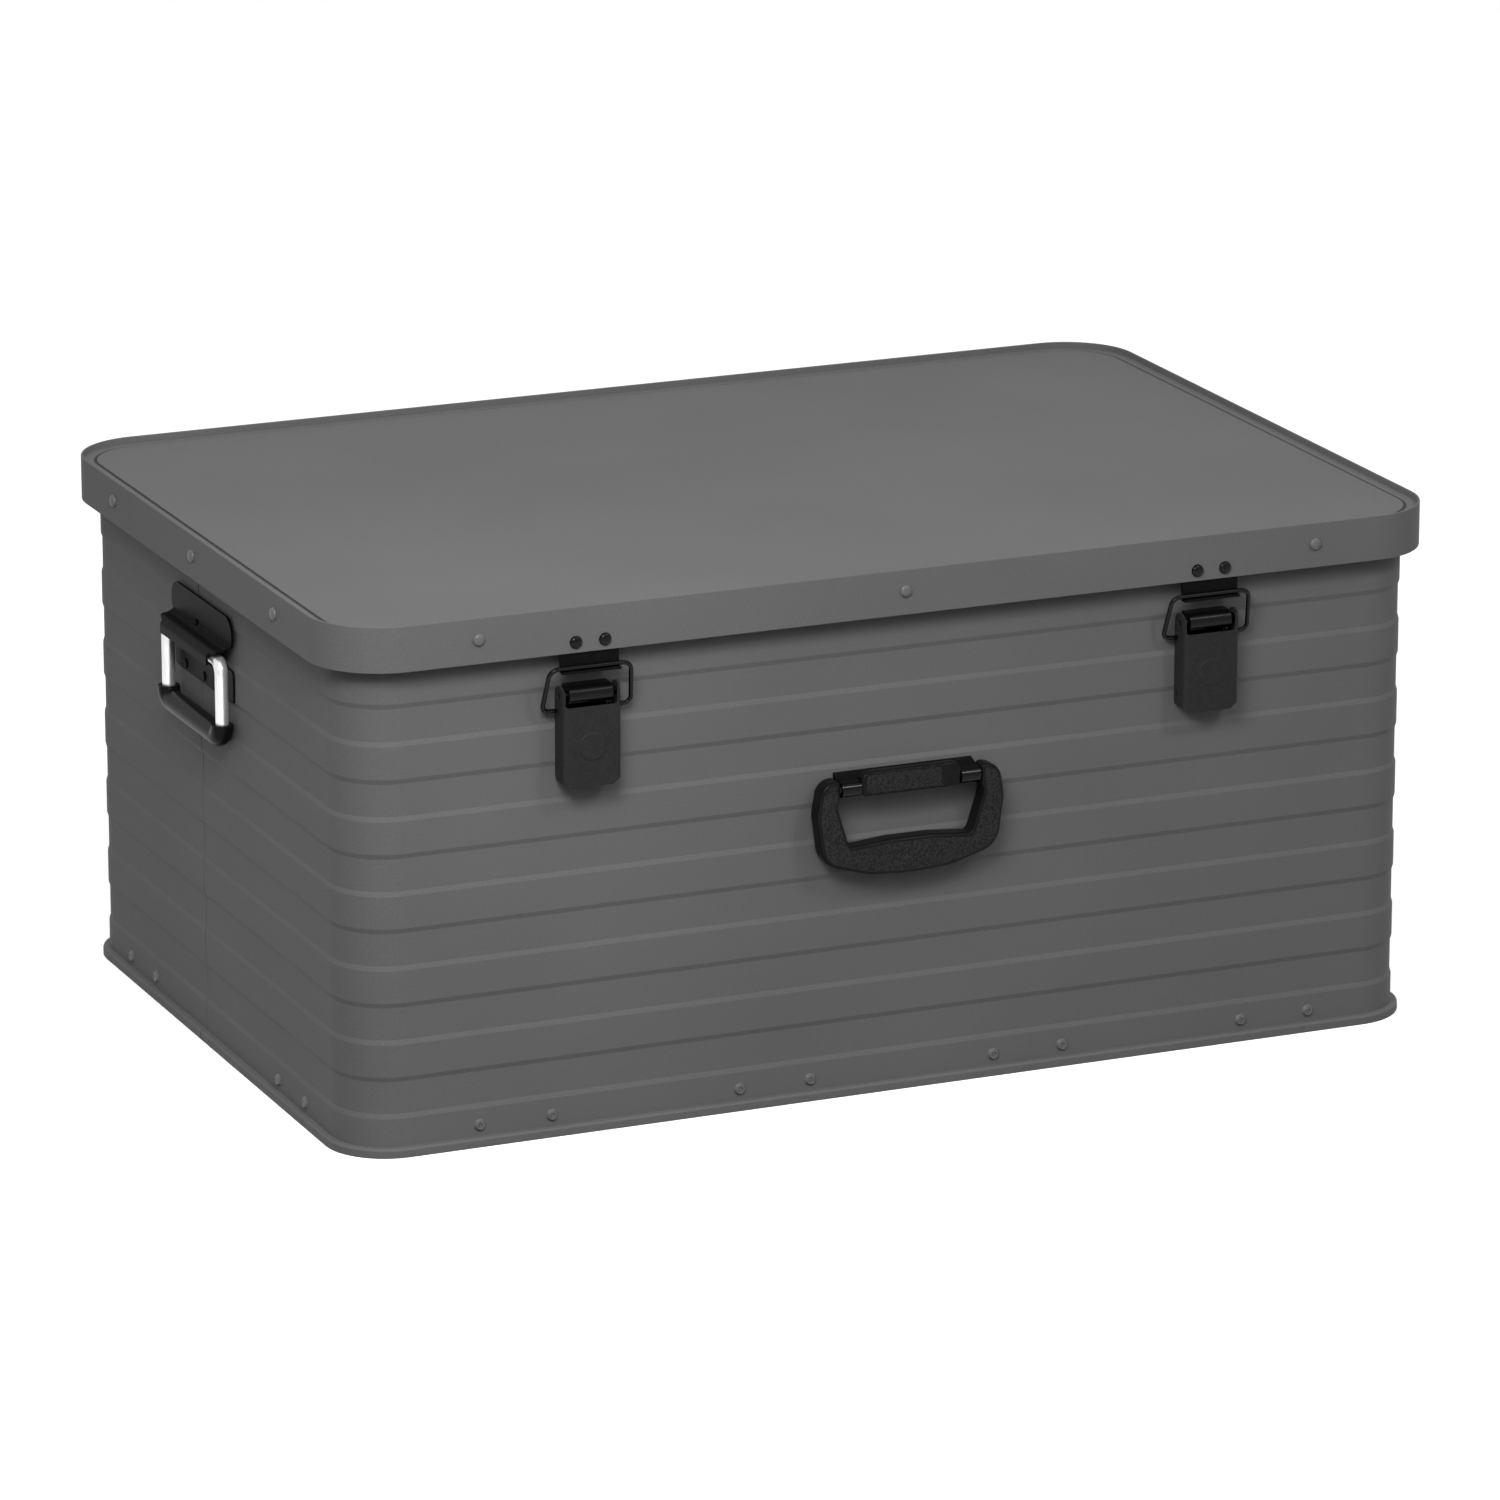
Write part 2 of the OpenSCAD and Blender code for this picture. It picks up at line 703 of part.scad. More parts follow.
module front_handle_bracket() {
    half = bracket_w / 2;
    roof = 9;
    roof_slope = (roof - knuckle_r) / handle_pin_out;
    color(BLACK_METAL) difference() {
        on_front_handle() {
            translate([-half, -8.5, 0]) cube([bracket_w, roof + 8.5, latch_t]);
            sideways(-half, half) polygon([
                [0, roof], [cover_roof_out, roof - cover_roof_out * roof_slope],
                [cover_roof_out, roof - latch_t - cover_roof_out * roof_slope],
                [0, roof - latch_t]
            ]);
            for (s = [0, 1]) mirror([s, 0, 0]) {
                sideways(half - knuckle_w, half) polygon([
                    [0, roof], [handle_pin_out, knuckle_r],
                    [handle_pin_out, knuckle_r - latch_t], [0, roof - latch_t]
                ]);
                translate([0, 0, handle_pin_out]) cross_rod(half - knuckle_w, half, knuckle_r);
            }
        }
        on_front_handle() translate([0, 0, handle_pin_out])
            cross_rod(-bracket_w, bracket_w, handle_pin_r + pin_fit);
        each_front_handle_rivet() translate([0, 0, latch_t]) rivet_hole(latch_t + cut);
    }
}

module front_handle_rivets() {
    color(BLACK_METAL) each_front_handle_rivet() translate([0, 0, latch_t])
        rivet(small_head_r, flat_head_h, wall_grip(latch_t, -handle_drop - 4.5));
}

module front_handle_pin() {
    color(BLACK_METAL) on_front_handle() translate([0, 0, handle_pin_out])
        cross_rod(-bracket_w / 2 - 9, bracket_w / 2 + 9, handle_pin_r);
}

module front_handle_cover() {
    half = bracket_w / 2 - knuckle_w - side_gap;
    back = latch_t + flat_head_h + side_gap;
    front = handle_pin_out + knuckle_r - 0.4;
    color(BLACK_PLASTIC) on_front_handle() difference() {
        translate([0, 0, back]) linear_extrude(front - back)
            polygon(rounded(both_sides([[half, -5.6, 4], [half, 11.4, 5]])));
        translate([-half - cut, 3.8, 0]) cube([2 * (half + cut), 10, cover_roof_out + side_gap]);
        translate([0, 0, handle_pin_out]) cross_rod(-half - cut, half + cut, handle_pin_r + pin_fit);
    }
}

module front_handle_grip() {
    half = grip_w / 2;
    gate = bracket_w / 2 + 1.2;
    color(BLACK_PLASTIC) on_front_handle() difference() {
        translate([0, 0, handle_pin_out + grip_front - grip_t]) linear_extrude(grip_t) difference() {
            polygon(rounded(both_sides([
                [gate - 4, 7, 0], [half - 5, 7, 11], [half, -16, 14], [half - 5, -50, 14],
                [30, 1.6 - grip_len, 60], [8, -grip_len, 40]
            ])));
            polygon(rounded(both_sides([
                [gate, 12, 0], [gate, -6.3, 1.5], [gate + 1.8, -11.4, 1.5], [45.4, -35.5, 10],
                [43.6, -39.4, 3], [15, -36.9, 40]
            ])));
        }
        for (s = [0, 1]) mirror([s, 0, 0]) translate([0, 0, handle_pin_out])
            cross_rod(gate - cut, bracket_w / 2 + 9.4, handle_pin_r + pin_fit);
    }
}

// ---- End handles ----

module on_end_handle(side) {
    on_wall(side, (side == "right" ? 1 : -1) * end_handle_y, -end_drop) children();
}

module handle_plate(side) {
    reach = end_bar_out + bar_d / 2 + bar_gap;
    window = side == "right" ? 8 : -8;
    // The rolled hood ends just past the straight part of the bar, inside its bends
    hood = leg_gap / 2 - bend_r + 1.5;
    color(BLACK_METAL) difference() {
        on_end_handle(side) difference() {
            union() {
                linear_extrude(plate_t) polygon(rounded(both_sides([
                    [hood + 0.5, 9, 1], [leg_gap / 2 + 6, 13, 6], [leg_gap / 2 + 6, 30, 12]
                ])));
                sideways(-hood, hood) polygon(rounded([
                    [0, 17, 0], [plate_t, 17, 0], [plate_t, 9.6, 2], [7, 6.7, 6],
                    [11.8, 6.1, 4], [reach + plate_t, 3, 3], [reach + plate_t, -5, 0.6],
                    [reach, -5, 0.6], [reach, 2.4, 1.5], [10.9, 4.75, 2], [7, 5.2, 4],
                    [plate_t - 0.5, 8.2, 1], [0, 8.4, 0]
                ], 5));
            }
            translate([window - 2.5, 7.2, -cut]) cube([5, 6.6, 8]);
        }
        each_end_handle_rivet(side) translate([0, 0, plate_t]) rivet_hole(plate_t + cut);
    }
}

module handle_retainer(side) {
    shelf = -bar_d / 2 - bar_gap;
    color(BLACK_METAL) difference() {
        on_end_handle(side) {
            linear_extrude(plate_t) polygon(rounded(both_sides([
                [57, -29, 4], [57, shelf - plate_t, 4]
            ])));
            sideways(-44, 44)
                translate([0, shelf - plate_t]) square([end_bar_out + 3, plate_t]);
        }
        each_end_handle_rivet(side) translate([0, 0, plate_t]) rivet_hole(plate_t + cut);
    }
}

module handle_rivets(side) {
    color(BLACK_METAL) each_end_handle_rivet(side) translate([0, 0, plate_t])
        rivet(small_head_r, flat_head_h, wall_grip(plate_t, end_rivet_ups[1]));
}

module handle_bar(side) {
    leg = leg_gap / 2;
    butt = 2;
    color(ZINC) on_end_handle(side) translate([0, 0, end_bar_out]) bent_rod([
        [butt, 0, 0], [leg, 0, bend_r], [leg, -leg_len, bend_r],
        [-leg, -leg_len, bend_r], [-leg, 0, bend_r], [-butt, 0, 0]
    ], bar_d);
}

module handle_grip(side) {
    leg = leg_gap / 2;
    top = bend_r + 0.5 - leg_len;
    path = [[leg, top, 0], [leg, -leg_len, bend_r], [-leg, -leg_len, bend_r], [-leg, top, 0]];
    color(BLACK_PLASTIC) on_end_handle(side) translate([0, 0, end_bar_out]) difference() {
        bent_rod(path, end_grip_d);
        bent_rod([
            [leg, top + cut, 0], path[1], path[2], [-leg, top + cut, 0]
        ], bar_d + 2 * pin_fit);
    }
}

// ---- Hinges; hand is -1 or 1 along the back, seen from behind ----

module on_hinge(hand) {
    on_wall("back", hand * latch_x, -hinge_drop) children();
}

// The two outer stretches of a hinge's width
module outer_knuckles() {
    for (s = [0, 1]) mirror([s, 0, 0]) translate([0, 0, hinge_out])
        cross_rod(hinge_mid_w / 2 + side_gap / 2, hinge_w / 2, hinge_r);
}

module hinge_pin_hole() {
    translate([0, 0, hinge_out]) cross_rod(-hinge_w, hinge_w, hinge_pin_r + pin_fit);
}

module hinge_body_leaf(hand) {
    half = hinge_w / 2;
    color(BLACK_METAL) difference() {
        on_hinge(hand) difference() {
            union() {
                translate([-half, -19.5, 0]) cube([hinge_w, 19.5 - hinge_r + latch_t, latch_t]);
                translate([-half, -hinge_r, 0]) cube([hinge_w, latch_t, hinge_out]);
                outer_knuckles();
            }
            translate([-hinge_mid_w / 2 - side_gap / 2, -hinge_r - cut, hinge_out - hinge_r - 0.7])
                cube([hinge_mid_w + side_gap, hinge_r + cut, hinge_out]);
            hinge_pin_hole();
        }
        each_hinge_body_rivet(hand) translate([0, 0, latch_t]) rivet_hole(latch_t + cut);
    }
}

module hinge_lid_leaf(hand) {
    half = hinge_w / 2;
    mid = hinge_mid_w / 2 - side_gap / 2;
    color(BLACK_METAL) difference() {
        on_hinge(hand) difference() {
            union() {
                translate([-half, hinge_drop + 1, wall_inset])
                    cube([hinge_w, 15, latch_t]);
                translate([-mid, 0, wall_inset]) cube([2 * mid, hinge_drop + 2, latch_t]);
                translate([0, 0, hinge_out]) cross_rod(-mid, mid, hinge_r);
            }
            hinge_pin_hole();
        }
        each_hinge_lid_rivet(hand) translate([0, 0, latch_t]) rivet_hole(latch_t + cut);
    }
}

module hinge_pin(hand) {
    half = hinge_w / 2;
    color(BLACK_METAL) on_hinge(hand) translate([0, 0, hinge_out]) {
        cross_rod(-half, half, hinge_pin_r);
        for (s = [-1, 1]) translate([s * half, 0, 0]) rotate([0, s * 90, 0])
            dome(hinge_r - 0.6, 1);
    }
}

module hinge_body_rivets(hand) {
    color(BLACK_METAL) each_hinge_body_rivet(hand) translate([0, 0, latch_t])
        rivet(small_head_r, flat_head_h, wall_grip(latch_t, hinge_rivet_up));
}

module hinge_lid_rivets(hand) {
    color(BLACK_METAL) each_hinge_lid_rivet(hand) translate([0, 0, latch_t])
        rivet(small_head_r, flat_head_h, latch_t + sheet_t);
}

// ---- Nodes ----

body_wall();
seam_strap();
base_pan();
base_rim();
base_rivets();
lid_panel();
panel_bead();
lid_frame();
lid_skirt();
lid_rivets();
lid_seal();
latch_base(-1);  // left_latch_base
latch_base_rivets(-1);  // left_latch_base_rivets
latch_lever(-1);  // left_latch_lever
latch_pin(-1);  // left_latch_pin
latch_bail(-1);  // left_latch_bail
keeper(-1);  // left_keeper
keeper_rivets(-1);  // left_keeper_rivets
latch_base(1);  // right_latch_base
latch_base_rivets(1);  // right_latch_base_rivets
latch_lever(1);  // right_latch_lever
latch_pin(1);  // right_latch_pin
latch_bail(1);  // right_latch_bail
keeper(1);  // right_keeper
keeper_rivets(1);  // right_keeper_rivets
front_handle_bracket();
front_handle_rivets();
front_handle_pin();
front_handle_cover();
front_handle_grip();
handle_plate("left");  // left_handle_plate
handle_retainer("left");  // left_handle_retainer
handle_rivets("left");  // left_handle_rivets
handle_bar("left");  // left_handle_bar
handle_grip("left");  // left_handle_grip
handle_plate("right");  // right_handle_plate
handle_retainer("right");  // right_handle_retainer
handle_rivets("right");  // right_handle_rivets
handle_bar("right");  // right_handle_bar
handle_grip("right");  // right_handle_grip
hinge_body_leaf(1);  // left_hinge_body_leaf
hinge_lid_leaf(1);  // left_hinge_lid_leaf
hinge_pin(1);  // left_hinge_pin
hinge_body_rivets(1);  // left_hinge_body_rivets
hinge_lid_rivets(1);  // left_hinge_lid_rivets
hinge_body_leaf(-1);  // right_hinge_body_leaf
hinge_lid_leaf(-1);  // right_hinge_lid_leaf
hinge_pin(-1);  // right_hinge_pin
hinge_body_rivets(-1);  // right_hinge_body_rivets
hinge_lid_rivets(-1);  // right_hinge_lid_rivets
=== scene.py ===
"""Looks of a powder-coated sheet-aluminium transport box with black latches and handles."""

import json
import math

import bmesh
import bpy
from mathutils import Matrix, Vector
from mathutils.geometry import delaunay_2d_cdt


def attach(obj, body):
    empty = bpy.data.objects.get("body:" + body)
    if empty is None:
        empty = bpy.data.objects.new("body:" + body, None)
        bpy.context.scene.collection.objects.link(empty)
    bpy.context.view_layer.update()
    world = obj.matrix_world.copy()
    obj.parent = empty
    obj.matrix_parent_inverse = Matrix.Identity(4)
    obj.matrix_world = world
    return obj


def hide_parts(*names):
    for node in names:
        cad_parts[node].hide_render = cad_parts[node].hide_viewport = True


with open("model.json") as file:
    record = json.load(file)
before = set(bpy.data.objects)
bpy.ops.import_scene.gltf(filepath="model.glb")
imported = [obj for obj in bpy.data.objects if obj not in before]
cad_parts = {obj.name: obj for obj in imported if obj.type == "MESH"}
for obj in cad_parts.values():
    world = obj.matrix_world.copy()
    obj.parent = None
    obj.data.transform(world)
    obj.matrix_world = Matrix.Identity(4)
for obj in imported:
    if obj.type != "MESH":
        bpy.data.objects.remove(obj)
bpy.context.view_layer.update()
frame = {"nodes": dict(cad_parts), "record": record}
scene = bpy.context.scene

# ---- Sizes of the box, in millimetres ----

MM = 0.001
LENGTH = 800.0
DEPTH = 538.0
SKIRT_Z = 331.0
CORNER_R = 51.0
WALL_INSET = 12.5
SHEET = 1.5
CORE_X = LENGTH / 2 - CORNER_R
CORE_Y = DEPTH / 2 - CORNER_R
LATCH_X = CORE_X - 125.5
SIDE_TURNS = {"front": 0, "right": 90, "back": 180, "left": -90}
ENDS = ("left", "right")


def on_wall(side, along=0.0, up=0.0, out=0.0):
    """Matrix from millimetres on a wall, x to the right, y up and z out, to the frame's metres."""
    half = (LENGTH if side in ENDS else DEPTH) / 2
    return (
        Matrix.Scale(MM, 4)
        @ Matrix.Rotation(math.radians(SIDE_TURNS[side]), 4, "Z")
        @ Matrix.Translation((along, WALL_INSET - half, SKIRT_Z + up))
        @ Matrix.Rotation(math.radians(90), 4, "X")
        @ Matrix.Translation((0, 0, out))
    )


# ---- Materials ----


def linear(hex_colour):
    """An sRGB hex colour as a linear RGBA tuple."""
    parts = [int(hex_colour[i : i + 2], 16) / 255 for i in (1, 3, 5)]
    light = [c / 12.92 if c <= 0.04045 else ((c + 0.055) / 1.055) ** 2.4 for c in parts]
    return (*light, 1.0)


def add_node(tree, kind, inputs=(), **settings):
    """Adds a node, sets its properties, and fills each input with a value or a link."""
    made = tree.nodes.new(kind)
    for name, value in settings.items():
        setattr(made, name, value)
    for socket, value in dict(inputs).items():
        if isinstance(value, bpy.types.NodeSocket):
            tree.links.new(value, made.inputs[socket])
        else:
            made.inputs[socket].default_value = value
    return made


def new_material(name):
    """An empty material with a Principled surface: itself, its tree, shader and position."""
    material = bpy.data.materials.new(name)
    material.use_nodes = True
    tree = material.node_tree
    tree.nodes.clear()
    shader = add_node(tree, "ShaderNodeBsdfPrincipled")
    add_node(tree, "ShaderNodeOutputMaterial", {"Surface": shader.outputs[0]})
    position = add_node(tree, "ShaderNodeTexCoord").outputs["Object"]
    return material, tree, shader, position


def set_shader(shader, **values):
    for name, value in values.items():
        shader.inputs[name.replace("_", " ")].default_value = value


def coloured_by(tree, shader, factor, low, high, span=(0.3, 0.7)):
    """Blends the base colour from low to high as factor crosses span."""
    ramp = add_node(tree, "ShaderNodeValToRGB", {"Fac": factor})
    for stop, place, colour in zip(ramp.color_ramp.elements, span, (low, high)):
        stop.position = place
        stop.color = linear(colour)
    tree.links.new(ramp.outputs["Color"], shader.inputs["Base Color"])


def roughened_by(tree, shader, factor, low, high):
    spread = add_node(tree, "ShaderNodeMapRange", {"Value": factor, "To Min": low, "To Max": high})
    tree.links.new(spread.outputs["Result"], shader.inputs["Roughness"])


def bumped_by(tree, shader, height, depth_mm, strength=1.0):
    bump = add_node(
        tree, "ShaderNodeBump", {"Height": height, "Distance": depth_mm * MM, "Strength": strength}
    )
    tree.links.new(bump.outputs["Normal"], shader.inputs["Normal"])


def noise(tree, position, size_mm, detail=2.0, roughness=0.5):
    return add_node(
        tree,
        "ShaderNodeTexNoise",
        {"Vector": position, "Scale": 1 / (size_mm * MM), "Detail": detail, "Roughness": roughness},
    ).outputs["Fac"]


def powder_coat(name, roughness, bump_mm):
    """Fine-textured polyester powder on sheet: a dry, even dark grey with a sandy grain."""
    material, tree, shader, position = new_material(name)
    # The grain is about 0.5 mm across; it is drawn at 0.9 mm so that it shows
    grain = noise(tree, position, 0.9, 2.0, 0.6)
    # Slow drift in the coat's thickness, a hand's width across
    drift = noise(tree, position, 140.0, 1.0)
    share = add_node(
        tree, "ShaderNodeMath", {0: drift, 1: 0.25}, operation="MULTIPLY"
    ).outputs[0]
    mixed = add_node(
        tree, "ShaderNodeMath", {0: grain, 1: 0.75, 2: share}, operation="MULTIPLY_ADD"
    ).outputs[0]
    coloured_by(tree, shader, mixed, "#5b5b5c", "#666667", (0.36, 0.64))
    roughened_by(tree, shader, grain, roughness - 0.06, roughness + 0.06)
    bumped_by(tree, shader, grain, bump_mm, 0.5)
    set_shader(shader, IOR=1.45, Specular_IOR_Level=0.4)
    return material


def black_coat(name, low, high, roughness, bump_mm, specular):
    """Black epoxy coat on pressed steel, with a faint orange peel."""
    material, tree, shader, position = new_material(name)
    # Orange peel is 2 to 3 mm from crest to crest
    peel = noise(tree, position, 2.4, 2.0)
    coloured_by(tree, shader, peel, low, high)
    roughened_by(tree, shader, peel, roughness - 0.04, roughness + 0.05)
    bumped_by(tree, shader, peel, bump_mm, 0.5)
    set_shader(shader, IOR=1.5, Specular_IOR_Level=specular)
    return material


def zinc_plate():
    """Bright zinc plate on drawn steel rod: near white, with soft streaks along the rod."""
    material, tree, shader, position = new_material("bright_zinc_plate")
    # Drawing marks are under 1 mm wide and about 12 mm long, along the upright legs
    stretched = add_node(
        tree, "ShaderNodeMapping", {"Vector": position, "Scale": (1.0, 1.0, 0.12)}
    ).outputs["Vector"]
    streaks = noise(tree, stretched, 1.5, 3.0, 0.6)
    coloured_by(tree, shader, streaks, "#dededd", "#f6f6f5")
    roughened_by(tree, shader, streaks, 0.24, 0.40)
    bumped_by(tree, shader, streaks, 0.02, 0.4)
    set_shader(shader, Metallic=0.75)
    return material


def grained_plastic():
    """Moulded black polypropylene with a spark-eroded leather grain: small rounded pebbles."""
    material, tree, shader, position = new_material("grained_polypropylene")
    # Pebbles are about 1 mm across; they are drawn at 1.4 mm, and the speckle between them at
    # 1.2 mm, so that they show
    pebbles = add_node(
        tree,
        "ShaderNodeTexVoronoi",
        {"Vector": position, "Scale": 1 / (1.4 * MM), "Randomness": 1.0},
        feature="SMOOTH_F1",
    ).outputs["Distance"]
    speckle = noise(tree, position, 1.2, 2.0, 0.6)
    height = add_node(
        tree, "ShaderNodeMath", {0: speckle, 1: pebbles}, operation="SUBTRACT"
    ).outputs[0]
    coloured_by(tree, shader, speckle, "#141414", "#323232", (0.38, 0.62))
    roughened_by(tree, shader, speckle, 0.46, 0.60)
    bumped_by(tree, shader, height, 0.22, 0.6)
    set_shader(shader, IOR=1.49, Specular_IOR_Level=0.08)
    return material


def smooth_plastic():
    """Moulded black polypropylene off a polished tool: satin, with a faint flow pattern."""
    material, tree, shader, position = new_material("satin_polypropylene")
    # Flow marks are about 6 mm apart
    flow = noise(tree, position, 6.0, 2.0)
    coloured_by(tree, shader, flow, "#121212", "#171717")
    roughened_by(tree, shader, flow, 0.26, 0.34)
    bumped_by(tree, shader, flow, 0.03, 0.3)
    set_shader(shader, IOR=1.49, Specular_IOR_Level=0.06)
    return material


def foam_rubber():
    """Closed-cell EPDM foam strip: matt black with a fine skin."""
    material, tree, shader, position = new_material("foam_rubber")
    # Cells are about 1 mm across
    cells = noise(tree, position, 1.2, 3.0)
    coloured_by(tree, shader, cells, "#161616", "#222222")
    roughened_by(tree, shader, cells, 0.78, 0.9)
    bumped_by(tree, shader, cells, 0.10, 0.5)
    return material


GREY_COAT = powder_coat("textured_powder_coat", 0.74, 0.08)
GREY_RIVET = powder_coat("smooth_powder_coat", 0.40, 0.02)
BLACK_SATIN = black_coat("satin_black_epoxy", "#2a2a2a", "#303030", 0.36, 0.03, 0.05)
# A darker copy of the black epoxy: painted shade for the keepers under the lid's skirt and for the
# end handles' plates and rivets on the dim ends
SHADED_BLACK = black_coat("shaded_black_epoxy", "#0b0b0b", "#111111", 0.45, 0.03, 0.03)
BLACK_GLOSS = black_coat("gloss_black_epoxy", "#080808", "#0b0b0b", 0.18, 0.02, 0.13)
ZINC = zinc_plate()
GRAINED = grained_plastic()
SMOOTH = smooth_plastic()
FOAM = foam_rubber()

CAD_FINISHES = {
    "grey_coat": GREY_COAT,
    "black_steel": BLACK_SATIN,
    "black_gloss_steel": BLACK_GLOSS,
    "zinc_steel": ZINC,
    "textured_plastic": GRAINED,
    "smooth_plastic": SMOOTH,
    "seal_rubber": FOAM,
}
for part in frame["record"]["subparts"]:
    node_mesh = frame["nodes"][part["node"]].data
    finish = CAD_FINISHES[part["material_slot"]]
    # The keepers and the end handles' plates get a duller, darker copy of the latches' black; its
    # darkness is painted shade for the keepers under the lid's skirt and for the end handles on the
    # box's dim ends
    if part["node"].endswith(("_keeper", "_handle_retainer")):
        finish = SHADED_BLACK
    for index in range(len(node_mesh.materials)):
        node_mesh.materials[index] = finish

# ---- Making meshes ----


def rounded(corners, steps=8, closed=True):
    """Points of a path of [x, y, radius] corners with each corner turned into an arc."""
    points = []
    count = len(corners)
    for i, (x, y, radius) in enumerate(corners):
        here = Vector((x, y))
        if radius == 0 or (not closed and i in (0, count - 1)):
            points.append(here)
            continue
        back = (Vector(corners[i - 1][:2]) - here).normalized()
        ahead = (Vector(corners[(i + 1) % count][:2]) - here).normalized()
        half = back.angle(ahead) / 2
        centre = here + (back + ahead).normalized() * radius / math.sin(half)
        start = here + back * radius / math.tan(half) - centre
        turn = start.angle_signed(here + ahead * radius / math.tan(half) - centre)
        for k in range(steps + 1):
            points.append(centre + Matrix.Rotation(-turn * k / steps, 2) @ start)
    return points


def both_sides(corners):
    """Corners listed for x > 0, followed by their mirror images in reverse."""
    return list(corners) + [(-x, y, r) for x, y, r in reversed(corners)]


def rectangle(x0, y0, x1, y1, radius):
    """Corners of an upright rectangle with the same radius all round."""
    return [(x0, y0, radius), (x1, y0, radius), (x1, y1, radius), (x0, y1, radius)]


def path_length(path):
    return sum((b - a).length for a, b in zip(path, path[1:]))


def circle(x, y, radius, steps):
    turns = [2 * math.pi * k / steps for k in range(steps)]
    return [Vector((x + radius * math.cos(t), y + radius * math.sin(t))) for t in turns]


def lathe(bm, profile, place, steps):
    """Turns a profile of (radius, height), listed from centre to centre, round the z axis."""
    rings = []
    for radius, height in profile:
        turns = [2 * math.pi * k / steps for k in range(steps)] if radius else [0.0]
        rings.append(
            [
                bm.verts.new(place @ Vector((radius * math.cos(t), radius * math.sin(t), height)))
                for t in turns
            ]
        )
    for upper, lower in zip(rings, rings[1:]):
        for k in range(steps):
            loop = [
                upper[k % len(upper)],
                lower[k % len(lower)],
                lower[(k + 1) % len(lower)],
                upper[(k + 1) % len(upper)],
            ]
            corners = [v for i, v in enumerate(loop) if v is not loop[i - 1]]
            bm.faces.new(corners)


def tube(bm, path, radii, place, sides):
    """A round rod along a flat path in the xy plane, with a radius at every point."""
    count = len(path)
    rings = []
    for i in range(count):
        ahead = (path[min(i + 1, count - 1)] - path[max(i - 1, 0)]).normalized()
        across = Vector((-ahead.y, ahead.x))
        ring = []
        for k in range(sides):
            turn = 2 * math.pi * k / sides
            spot = path[i] + across * radii[i] * math.cos(turn)
            ring.append(bm.verts.new(place @ Vector((spot.x, spot.y, radii[i] * math.sin(turn)))))
        rings.append(ring)
    for one, two in zip(rings, rings[1:]):
        for k in range(sides):
            bm.faces.new((one[k], one[(k + 1) % sides], two[(k + 1) % sides], two[k]))
    bm.faces.new(rings[0])
    bm.faces.new(reversed(rings[-1]))


def slab(bm, loop, low, high, place, edge=0.0, segments=3, edge_material=0):
    """A flat plate of a closed outline, with its rims rounded."""
    bottom = [bm.verts.new(place @ Vector((p.x, p.y, low))) for p in loop]
    top = [bm.verts.new(place @ Vector((p.x, p.y, high))) for p in loop]
    made = [bm.faces.new(bottom), bm.faces.new(top)]
    count = len(loop)
    for k in range(count):
        wall = bm.faces.new((bottom[k], bottom[(k + 1) % count], top[(k + 1) % count], top[k]))
        wall.material_index = edge_material
        made.append(wall)
    bmesh.ops.recalc_face_normals(bm, faces=made)
    if edge:
        rims = [e for face in made[:2] for e in face.edges]
        bmesh.ops.bevel(
            bm,
            geom=rims,
            offset=edge * MM,
            segments=segments,
            profile=0.5,
            affect="EDGES",
            clamp_overlap=True,
            material=edge_material if edge_material else -1,
        )


def inside(point, loops):
    """Whether a point lies inside an even-odd set of closed loops."""
    crossings = 0
    for loop in loops:
        for a, b in zip(loop, loop[1:] + loop[:1]):
            if (a.y > point.y) != (b.y > point.y):
                crossings += point.x < a.x + (point.y - a.y) * (b.x - a.x) / (b.y - a.y)
    return crossings % 2 == 1


def folded_sheet(bm, loops, profile, thickness, place, along=lambda w, a, b: (w, b, a)):
    """Folds a flat blank along a profile. The blank's loops are in (width, length along the
    profile), the profile is its outer face as (out, up) points, and the sheet lies inside it."""
    lengths = [0.0]
    for a, b in zip(profile, profile[1:]):
        lengths.append(lengths[-1] + (b - a).length)
    widths = [p.x for p in loops[0]]
    points, edges = [], []
    for loop in loops:
        first = len(points)
        points += loop
        edges += [(first + k, first + (k + 1) % len(loop)) for k in range(len(loop))]
    for length in lengths[1:-1]:
        edges.append((len(points), len(points) + 1))
        points += [Vector((min(widths) - 1, length)), Vector((max(widths) + 1, length))]
    flat, _, faces, *_ = delaunay_2d_cdt(points, edges, [], 0, 1e-5)
    normals = []
    for i in range(len(profile)):
        ahead = (profile[min(i + 1, len(profile) - 1)] - profile[max(i - 1, 0)]).normalized()
        normals.append(Vector((ahead.y, -ahead.x)))

    def fold(point, depth):
        length = min(max(point.y, 0.0), lengths[-1])
        i = max(k for k in range(len(lengths) - 1) if lengths[k] <= length + 1e-9)
        share = (length - lengths[i]) / (lengths[i + 1] - lengths[i])
        spot = profile[i].lerp(profile[i + 1], share)
        normal = normals[i].lerp(normals[i + 1], share).normalized()
        spot = spot - normal * depth
        return place @ Vector(along(point.x, spot.x, spot.y))

    kept = [f for f in faces if inside(sum((flat[k] for k in f), Vector((0, 0))) / len(f), loops)]
    used = sorted({k for f in kept for k in f})
    outer = {k: bm.verts.new(fold(flat[k], 0.0)) for k in used}
    inner = {k: bm.verts.new(fold(flat[k], thickness)) for k in used}
    sides = {}
    for f in kept:
        bm.faces.new([outer[k] for k in f])
        bm.faces.new([inner[k] for k in reversed(f)])
        for a, b in zip(f, list(f[1:]) + [f[0]]):
            sides[(a, b)] = sides.get((a, b), 0) + 1
    for a, b in sides:
        if (b, a) not in sides:
            bm.faces.new((outer[b], outer[a], inner[a], inner[b]))


